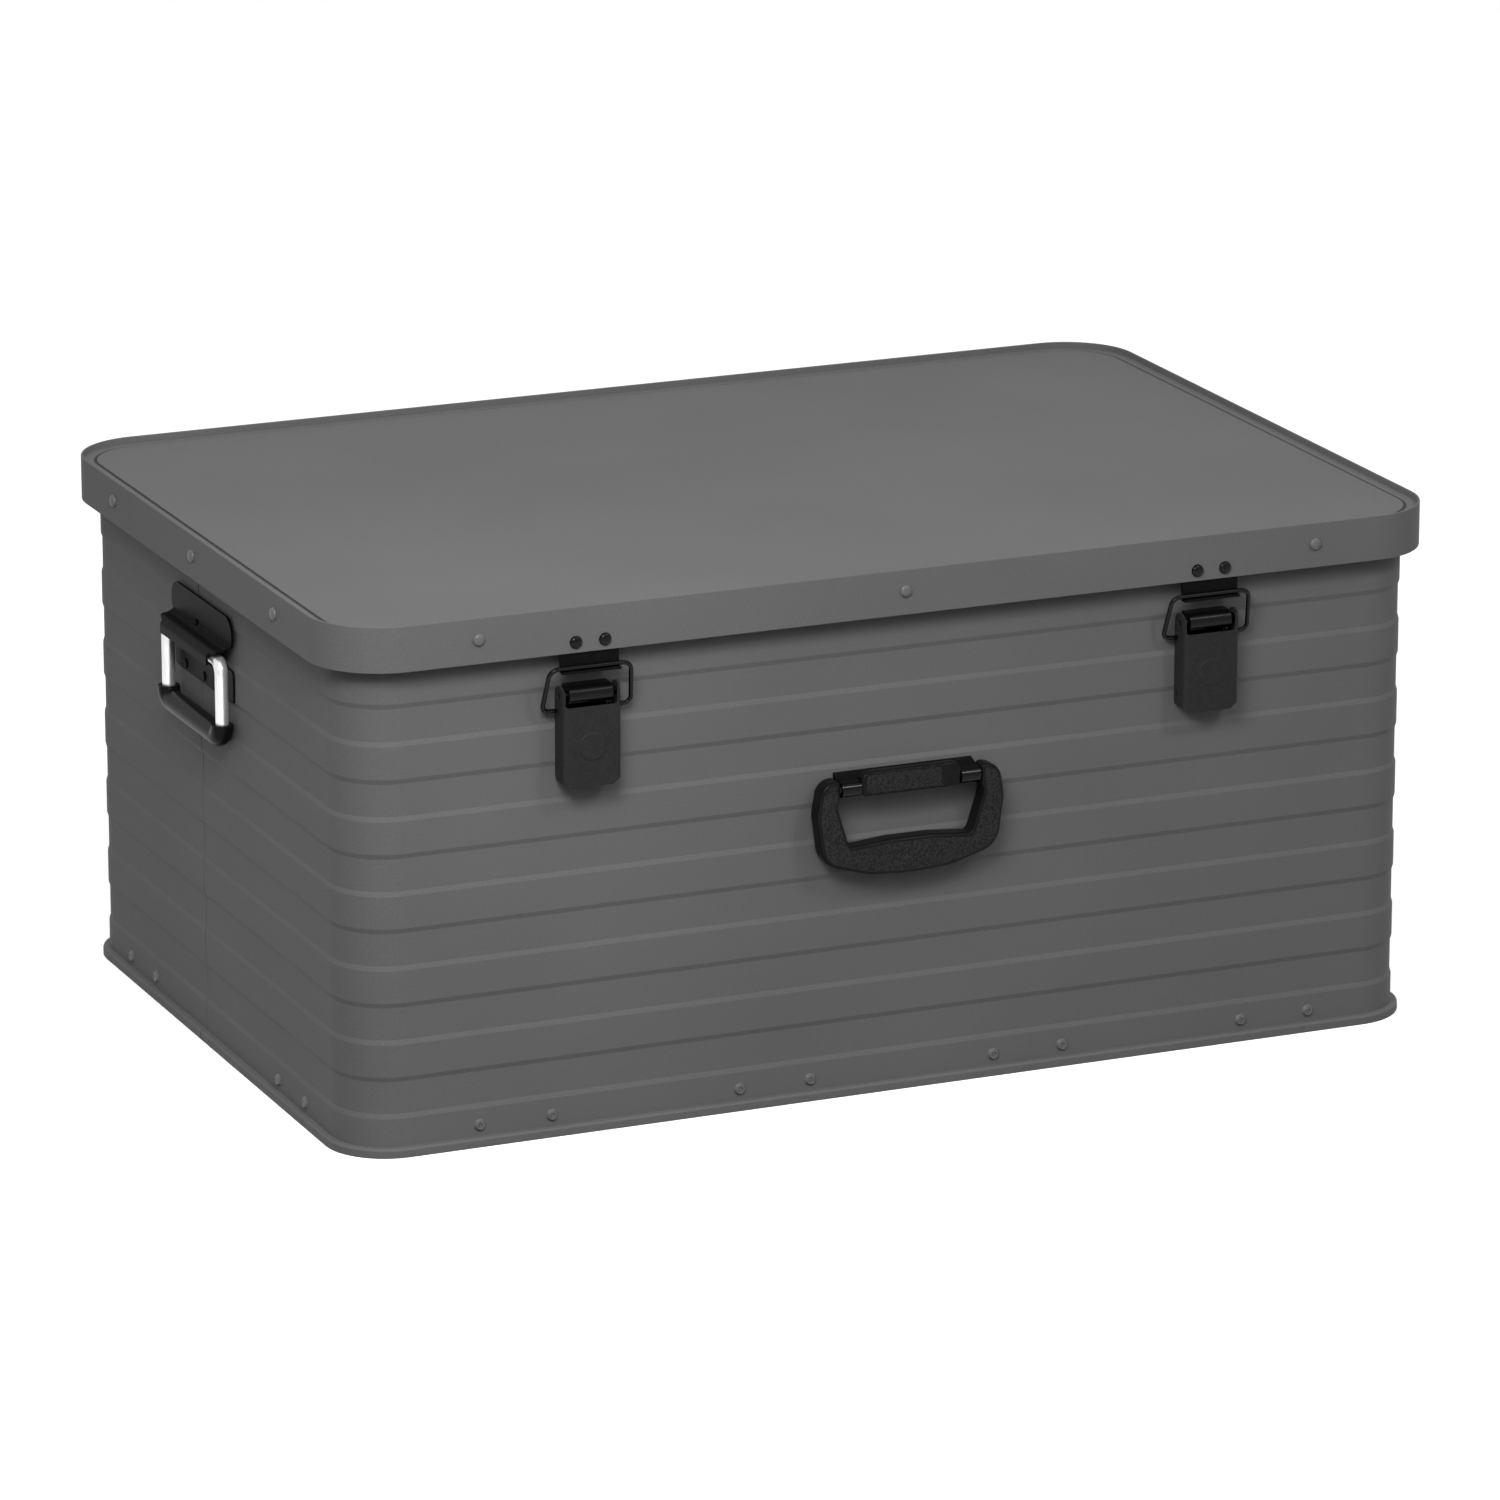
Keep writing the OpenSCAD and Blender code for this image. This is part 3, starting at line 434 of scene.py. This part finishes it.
def finish_piece(name, bm, body, materials, stands_for, crease=38, soften=0.0):
    """Turns a bmesh into a piece that rides on a body and stands for CAD nodes."""
    bmesh.ops.remove_doubles(bm, verts=bm.verts, dist=1e-7)
    bmesh.ops.recalc_face_normals(bm, faces=bm.faces)
    mesh = bpy.data.meshes.new(name)
    bm.to_mesh(mesh)
    bm.free()
    for material in materials:
        mesh.materials.append(material)
    piece = bpy.data.objects.new(name, mesh)
    scene.collection.objects.link(piece)
    if soften:
        edge = piece.modifiers.new("broken_edges", "BEVEL")
        edge.width = soften * MM
        edge.segments = 2
        edge.limit_method = "ANGLE"
        edge.angle_limit = math.radians(crease)
        edge.use_clamp_overlap = True
    mesh.shade_smooth()
    mesh.set_sharp_from_angle(angle=math.radians(crease))
    even = piece.modifiers.new("even_normals", "WEIGHTED_NORMAL")
    even.keep_sharp = True
    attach(piece, body)
    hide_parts(*stands_for)
    return piece


# ---- Rivets ----

SHANK_R = 1.8
TAIL_R = 2.6
TAIL_H = 1.2
BASE_RIVET_Z = 14.2
BASE_PAIR_GAP = 51.0
BASE_PAIR_INSET = 71.0
LID_RIVET_UP = 16.5


def set_end(grip):
    """The part of a rivet's profile behind its head: shank and set tail."""
    return [
        (SHANK_R, 0.0),
        (SHANK_R, -grip),
        (TAIL_R, -grip),
        (TAIL_R, -grip - 0.7 * TAIL_H),
        (TAIL_R - 0.6, -grip - TAIL_H),
        (0.0, -grip - TAIL_H),
    ]


def domed_head(radius, height, steps=7):
    """A round head with a short upright skirt and a small flat where the die struck."""
    flat, edge = 0.8, 0.35
    head = [(0.0, height), (flat, height)]
    for k in range(1, steps + 1):
        turn = math.radians(90 * k / steps)
        out = flat + (radius - flat) * math.sin(turn)
        head.append((out, edge + (height - edge) * math.cos(turn)))
    return head + [(radius, 0.0)]


def blind_head(radius, height):
    """A low flanged head with a sunk mandrel in the middle."""
    return [
        (0.0, height - 0.35),
        (1.0, height - 0.35),
        (1.25, height - 0.75),
        (1.6, height - 0.1),
        (1.9, height),
        (radius - 1.2, height - 0.12),
        (radius - 0.3, 0.45),
        (radius, 0.15),
        (radius, 0.0),
    ]


DOMED = domed_head(4.3, 2.6)
BLIND = blind_head(4.2, 1.8)
SMALL_DOME = domed_head(3.4, 1.3)


def base_pairs(side, half, count, shift):
    """Places low on a side for evenly spread pairs of rivets."""
    spread = half - BASE_PAIR_INSET
    return [
        on_wall(
            side,
            -spread + 2 * spread * i / (count - 1) + s * BASE_PAIR_GAP / 2 + shift,
            BASE_RIVET_Z - SKIRT_Z,
        )
        for i in range(count)
        for s in (-1, 1)
    ]


def rivets(node, body, material, head, grip, places):
    """Makes all rivets of one CAD node as a single piece."""
    bm = bmesh.new()
    for place in places:
        lathe(bm, head + set_end(grip), place, 28)
    finish_piece(node + "_set", bm, body, [material], [node], 40)


base_places = (
    base_pairs("front", CORE_X, 4, 5.0)
    + base_pairs("back", CORE_X, 4, -5.0)
    + base_pairs("right", CORE_Y, 2, 3.5)
    + base_pairs("left", CORE_Y, 2, -3.5)
)
rivets("base_rivets", "box", GREY_RIVET, BLIND, 2 * SHEET, base_places)

lid_places = []
for side in SIDE_TURNS:
    reach = CORE_Y - 60.0 if side in ENDS else CORE_X - 48.0
    for k in (-1, 0, 1):
        lid_places.append(on_wall(side, k * reach, LID_RIVET_UP, WALL_INSET))
rivets("lid_rivets", "lid", GREY_RIVET, DOMED, 2 * SHEET, lid_places)

# ---- Latches ----

LATCH_T = 1.5
PIVOT_UP = -29.0
PIVOT_OUT = 8.0
EYE_UP = PIVOT_UP - 10.5
EYE_OUT = PIVOT_OUT - 3.5
LEVER_HALF = 19.0
LEVER_OUT = 14.5
LEVER_IN = 0.8
FOOT_UP = PIVOT_UP - 61.0
BEND_R = 2.4
EAR_R = 6.8
BOSS_UP = PIVOT_UP - 34.0
BAIL_R = 1.5
BAR_UP = -9.7
BAR_OUT = 12.75
KEEPER_RIVET_UP = 7.4
KEEPER_RIVET_X = 10.2


def lever_mesh(bm, place):
    """The lever: a blank with two round ears, folded into a channel."""
    profile = rounded(
        [
            (-LEVER_HALF, LEVER_IN, 0),
            (-LEVER_HALF, LEVER_OUT, BEND_R),
            (LEVER_HALF, LEVER_OUT, BEND_R),
            (LEVER_HALF, LEVER_IN, 0),
        ],
        6,
        closed=False,
    )
    # The blank is drawn flat: x along the folded profile, y up the latch
    total = path_length(profile)
    middle = total / 2
    ear_x = PIVOT_OUT - LEVER_IN
    notch_x = total - (LEVER_OUT - LEVER_IN) + 0.2
    face_up = PIVOT_UP - 7.0
    foot = [
        (middle, FOOT_UP, 0),
        (middle + 14.3, FOOT_UP, 2.0),
        (middle + 18.3, FOOT_UP + 3.5, 1.2),
        (total - 2, FOOT_UP + 3.5, 0.8),
        (total, FOOT_UP + 5.5, 0.8),
        (total, PIVOT_UP - 3, 0),
    ]
    ear = [
        Vector((total - ear_x + EAR_R * math.cos(t), PIVOT_UP + EAR_R * math.sin(t)))
        for t in (math.radians(a) for a in range(0, 151, 10))
    ]
    notch = [(notch_x, PIVOT_UP + 3.0, 0), (notch_x, face_up, 2.2), (middle, face_up, 0)]
    right = rounded(foot, 5, closed=False) + ear + rounded(notch, 6, closed=False)
    left = [Vector((total - p.x, p.y)) for p in reversed(right[1:-1])]
    holes = []
    for x in (ear_x, total - ear_x):
        holes.append(circle(x, PIVOT_UP, 2.1, 20))
    for x in (EYE_OUT - LEVER_IN, total - EYE_OUT + LEVER_IN):
        holes.append(circle(x, EYE_UP, 1.6, 16))
    for x in (3.8, total - 3.8):
        holes.append(rounded(rectangle(x - 1.3, FOOT_UP + 7.5, x + 1.3, FOOT_UP + 13, 1), 4))
    loops = [[Vector((p.y, p.x)) for p in loop] for loop in [right + left] + holes]
    folded_sheet(bm, loops, profile, LATCH_T, place, along=lambda w, a, b: (a, w, b))


def bail_path():
    """The bail's wire from eye to eye, flat, with its bar at the far side."""
    foot, top = 31.3, 28.3
    reach = math.hypot(BAR_OUT - EYE_OUT, BAR_UP - EYE_UP)
    inner = LEVER_HALF - LATCH_T - 1.6
    right = [(inner, 0, 0), (foot, 0, 4.5), (top, reach, 6.5)]
    return rounded(both_sides(right), 10, closed=False)


BOSS = [
    (0.0, 1.6),
    (7.0, 1.75),
    (8.2, 2.0),
    (9.2, 1.9),
    (9.8, 1.4),
    (10.1, 0.6),
    (10.5, 0.0),
    (10.5, -0.2),
    (0.0, -0.2),
]

for side, hand in (("left", -1), ("right", 1)):
    here = on_wall("front", hand * LATCH_X)
    bm = bmesh.new()
    lever_mesh(bm, here)
    finish_piece(f"{side}_lever_channel", bm, f"{side}_lever", [BLACK_SATIN],
                 [f"{side}_latch_lever"], 45, 0.25)
    bm = bmesh.new()
    lathe(bm, BOSS, here @ Matrix.Translation((0, BOSS_UP, LEVER_OUT)), 64)
    finish_piece(f"{side}_lever_boss", bm, f"{side}_lever", [BLACK_SATIN], [], 50)
    bm = bmesh.new()
    tilt = Matrix.Rotation(math.atan2(BAR_OUT - EYE_OUT, BAR_UP - EYE_UP), 4, "X")
    path = bail_path()
    eyes = here @ Matrix.Translation((0, EYE_UP, EYE_OUT)) @ tilt
    tube(bm, path, [BAIL_R] * len(path), eyes, 20)
    finish_piece(f"{side}_bail_wire", bm, f"{side}_bail", [BLACK_GLOSS],
                 [f"{side}_latch_bail"])
    keeper_places = [
        on_wall("front", hand * LATCH_X + s * KEEPER_RIVET_X, KEEPER_RIVET_UP, WALL_INSET)
        for s in (-1, 1)
    ]
    rivets(f"{side}_keeper_rivets", "lid", BLACK_GLOSS, DOMED,
           SHEET + LATCH_T, keeper_places)

# ---- Front handle ----

HANDLE_SHIFT = 3.6
HANDLE_UP = -114.7
GRIP_T = 13.3
GRIP_OUT = 16.3
COVER_OUT = 16.8
COVER_HALF = 36.0
DASH_UPS = (-4.2, 9.2)
DASH_PITCH = 9.4
handle = on_wall("front", HANDLE_SHIFT, HANDLE_UP)

bm = bmesh.new()
grip_right = [
    (51.2, 7, 2.8), (64, 7, 11), (68, -16, 24), (63.4, -50, 17), (30, -60, 60), (8, -61.6, 40)
]
grip_inner = [
    (-51.2, -6.3, 8), (-53.0, -11.4, 3), (-45.4, -35.5, 10), (-43.6, -39.4, 3), (-15, -36.9, 40)
]
# One outline: round the outside, then back along the finger opening, which is open at the top
outline = rounded(both_sides(grip_right) + both_sides(grip_inner), 8)
slab(bm, outline, GRIP_OUT - GRIP_T, GRIP_OUT, handle, 2.4, 5, edge_material=1)
finish_piece("front_grip_moulding", bm, "front_grip", [GRAINED, SMOOTH],
             ["front_handle_grip"], 50)

bm = bmesh.new()
cover = rounded(both_sides([(COVER_HALF, -5.6, 4), (COVER_HALF, 11.2, 6)]), 8)
slab(bm, cover, 9.3, COVER_OUT - 0.5, handle, 2.0, 4)
lower = rounded(both_sides([(COVER_HALF, -5.6, 4), (COVER_HALF, 3.6, 1)]), 6)
slab(bm, lower, 3.0, 9.6, handle, 0.4, 2)
finish_piece("front_cover_moulding", bm, "box", [SMOOTH],
             ["front_handle_cover"], 50)
bm = bmesh.new()
pad = rounded([(-32.5, -3.6, 1.5), (21.6, -3.6, 0.8), (21.6, 9.4, 0.8), (-32.5, 9.4, 3.5)], 5)
slab(bm, pad, COVER_OUT - 1.4, COVER_OUT, handle, 0.5, 2)
for row in DASH_UPS:
    for k in range(6):
        x = -27.5 + DASH_PITCH * k
        dash = rounded(rectangle(x - 3.0, row, x + 3.0, row + 1.2, 0.5), 3)
        slab(bm, dash, COVER_OUT - 1.4, COVER_OUT + 0.4, handle, 0.4, 3, edge_material=1)
finish_piece("front_cover_pad", bm, "box", [GRAINED, SMOOTH], [], 50)

# ---- End handles ----

END_Y = 11.0
END_UP = -47.0
ROD_OUT = 8.2
ROD_R = 4.5
LEG = 53.0
LEG_LEN = 52.0
ROD_BEND = 9.0
ROD_CORNERS = [(LEG, -LEG_LEN, ROD_BEND), (-LEG, -LEG_LEN, ROD_BEND)]
SLEEVE_R = 7.6
SLEEVE_TOP = ROD_BEND + 0.5 - LEG_LEN
PLATE_T = 1.5
PLATE_HALF = 59.0
ROOF_HALF = 54.0
LIP_HALF = 45.5
LIP_OUT = ROD_OUT + ROD_R + 0.6 + PLATE_T
PLATE_RIVETS = [(-36, 26), (36, 26), (-36, -24), (0, -24), (36, -24)]

for side, sign in (("left", -1), ("right", 1)):
    place = on_wall(side, sign * END_Y, END_UP)
    rod = place @ Matrix.Translation((0, 0, ROD_OUT))
    bm = bmesh.new()
    corners = [(2, 0, 0), (LEG, 0, ROD_BEND)] + ROD_CORNERS + [(-LEG, 0, ROD_BEND), (-2, 0, 0)]
    path = rounded(corners, 12, closed=False)
    tube(bm, path, [ROD_R] * len(path), rod, 32)
    finish_piece(f"{side}_handle_rod", bm, f"{side}_end_handle", [ZINC],
                 [f"{side}_handle_bar"])

    bm = bmesh.new()
    corners = [(LEG, SLEEVE_TOP, 0)] + ROD_CORNERS + [(-LEG, SLEEVE_TOP, 0)]
    bends = rounded(corners, 12, closed=False)
    # Each mouth of the sleeve is rounded by two more rings
    mouth = [Vector((LEG, SLEEVE_TOP - d)) for d in (0.0, 0.15, 0.4)]
    path = mouth + bends[1:-1] + [Vector((-LEG, p.y)) for p in reversed(mouth)]
    swell = [6.6, 7.3, SLEEVE_R]
    tube(bm, path, swell + [SLEEVE_R] * (len(path) - 6) + swell[::-1], rod, 36)
    finish_piece(f"{side}_handle_sleeve", bm, f"{side}_end_handle", [SMOOTH],
                 [f"{side}_handle_grip"])

    # The upper plate: flat where it is riveted, then rolled out and down over the rod
    profile = rounded(
        [
            (PLATE_T, 30, 0),
            (PLATE_T, 9.6, 2),
            (7, 6.7, 6),
            (11.8, 6.1, 4),
            (LIP_OUT, 3, 3),
            (LIP_OUT, -3.5, 0),
        ],
        6,
        closed=False,
    )
    # Its roof reaches over the rod's bends, and its lip stops short of the swinging legs
    right = [
        (PLATE_HALF, 0, 12),
        (PLATE_HALF, 17.5, 6),
        (ROOF_HALF, 22, 3),
        (ROOF_HALF, 31.5, 1.5),
        (LIP_HALF, 34, 1),
        (LIP_HALF, path_length(profile), 1.5),
    ]
    blank = rounded(both_sides(right), 7)
    slot = rounded(rectangle(sign * 8 - 2.5, 16.2, sign * 8 + 2.5, 22.4, 1.0), 4)
    bm = bmesh.new()
    folded_sheet(bm, [blank, slot], profile, PLATE_T, place)
    finish_piece(f"{side}_handle_hood", bm, "box", [SHADED_BLACK],
                 [f"{side}_handle_plate"], 45, 0.25)

    rivets(f"{side}_handle_rivets", "box", SHADED_BLACK, SMALL_DOME,
           SHEET + PLATE_T,
           [place @ Matrix.Translation((x, y, PLATE_T)) for x, y in PLATE_RIVETS])

# ---- Camera, floor and light ----

camera = bpy.data.objects.new("camera", bpy.data.cameras.new("camera"))
camera.data.lens = 199.75
camera.data.sensor_width = 36.0
camera.data.clip_end = 50.0
camera.location = (-2.1819, -5.0641, 1.785)
camera.rotation_euler = Vector((0.3804, 0.8809, -0.2817)).to_track_quat("-Z", "Y").to_euler()
scene.collection.objects.link(camera)
scene.camera = camera


def seen_directly(tree):
    """1 for what the camera sees, directly, reflected or through glass; 0 for light on things."""
    path = add_node(tree, "ShaderNodeLightPath")
    direct = add_node(
        tree,
        "ShaderNodeMath",
        {0: path.outputs["Is Camera Ray"], 1: path.outputs["Is Glossy Ray"]},
        operation="MAXIMUM",
    ).outputs[0]
    return add_node(
        tree,
        "ShaderNodeMath",
        {0: direct, 1: path.outputs["Is Transmission Ray"]},
        operation="MAXIMUM",
    ).outputs[0]


floor_mesh = bpy.data.meshes.new("floor")
FLOOR_HALF = 12.0
floor_mesh.from_pydata(
    [(x * FLOOR_HALF, y * FLOOR_HALF, 0) for x, y in ((-1, -1), (1, -1), (1, 1), (-1, 1))],
    [],
    [(0, 1, 2, 3)],
)
floor = bpy.data.objects.new("floor", floor_mesh)
scene.collection.objects.link(floor)
pale = bpy.data.materials.new("pale_floor")
pale.use_nodes = True
pale.node_tree.nodes.clear()
tint = add_node(
    pale.node_tree,
    "ShaderNodeMix",
    {"Factor": seen_directly(pale.node_tree), 6: linear("#404040"), 7: linear("#fbfbfb")},
    data_type="RGBA",
)
matt = add_node(pale.node_tree, "ShaderNodeBsdfDiffuse", {"Color": tint.outputs[2]})
# A little glow, for the camera only, keeps the far floor as white as the backdrop
glow = add_node(
    pale.node_tree,
    "ShaderNodeMath",
    {0: seen_directly(pale.node_tree), 1: 0.55},
    operation="MULTIPLY",
)
lit = add_node(pale.node_tree, "ShaderNodeEmission", {"Strength": glow.outputs[0]})
both = add_node(pale.node_tree, "ShaderNodeAddShader", {0: matt.outputs[0], 1: lit.outputs[0]})
add_node(pale.node_tree, "ShaderNodeOutputMaterial", {"Surface": both.outputs[0]})
floor_mesh.materials.append(pale)

world = bpy.data.worlds.new("studio")
scene.world = world
world.use_nodes = True
world.node_tree.nodes.clear()
fill, white = (
    add_node(world.node_tree, "ShaderNodeBackground", {"Color": linear("#ffffff"), "Strength": k})
    for k in (0.42, 1.0)
)
blend = add_node(
    world.node_tree,
    "ShaderNodeMixShader",
    {0: seen_directly(world.node_tree), 1: fill.outputs[0], 2: white.outputs[0]},
)
add_node(world.node_tree, "ShaderNodeOutputWorld", {"Surface": blend.outputs[0]})


def softbox(name, location, target, size, power):
    lamp = bpy.data.lights.new(name, "AREA")
    lamp.shape = "RECTANGLE"
    lamp.size, lamp.size_y = size
    lamp.energy = power
    box = bpy.data.objects.new(name, lamp)
    box.location = location
    box.rotation_euler = (Vector(target) - Vector(location)).to_track_quat("-Z", "Y").to_euler()
    scene.collection.objects.link(box)


softbox("top_softbox", (0.6, 0.3, 2.5), (0.1, 0, 0.3), (1.8, 1.4), 3.5)
softbox("front_softbox", (-1.2, -3.2, 2.2), (0, -0.2, 0.2), (1.4, 1.0), 14.0)
softbox("near_softbox", (-0.75, -1.15, 1.2), (-0.2, -0.2, 0.3), (0.6, 0.4), 15.5)
softbox("key_softbox", (1.2, -2.0, 2.4), (0.0, -0.2, 0.2), (0.38, 0.3), 17.0)

scene.view_settings.view_transform = "Standard"
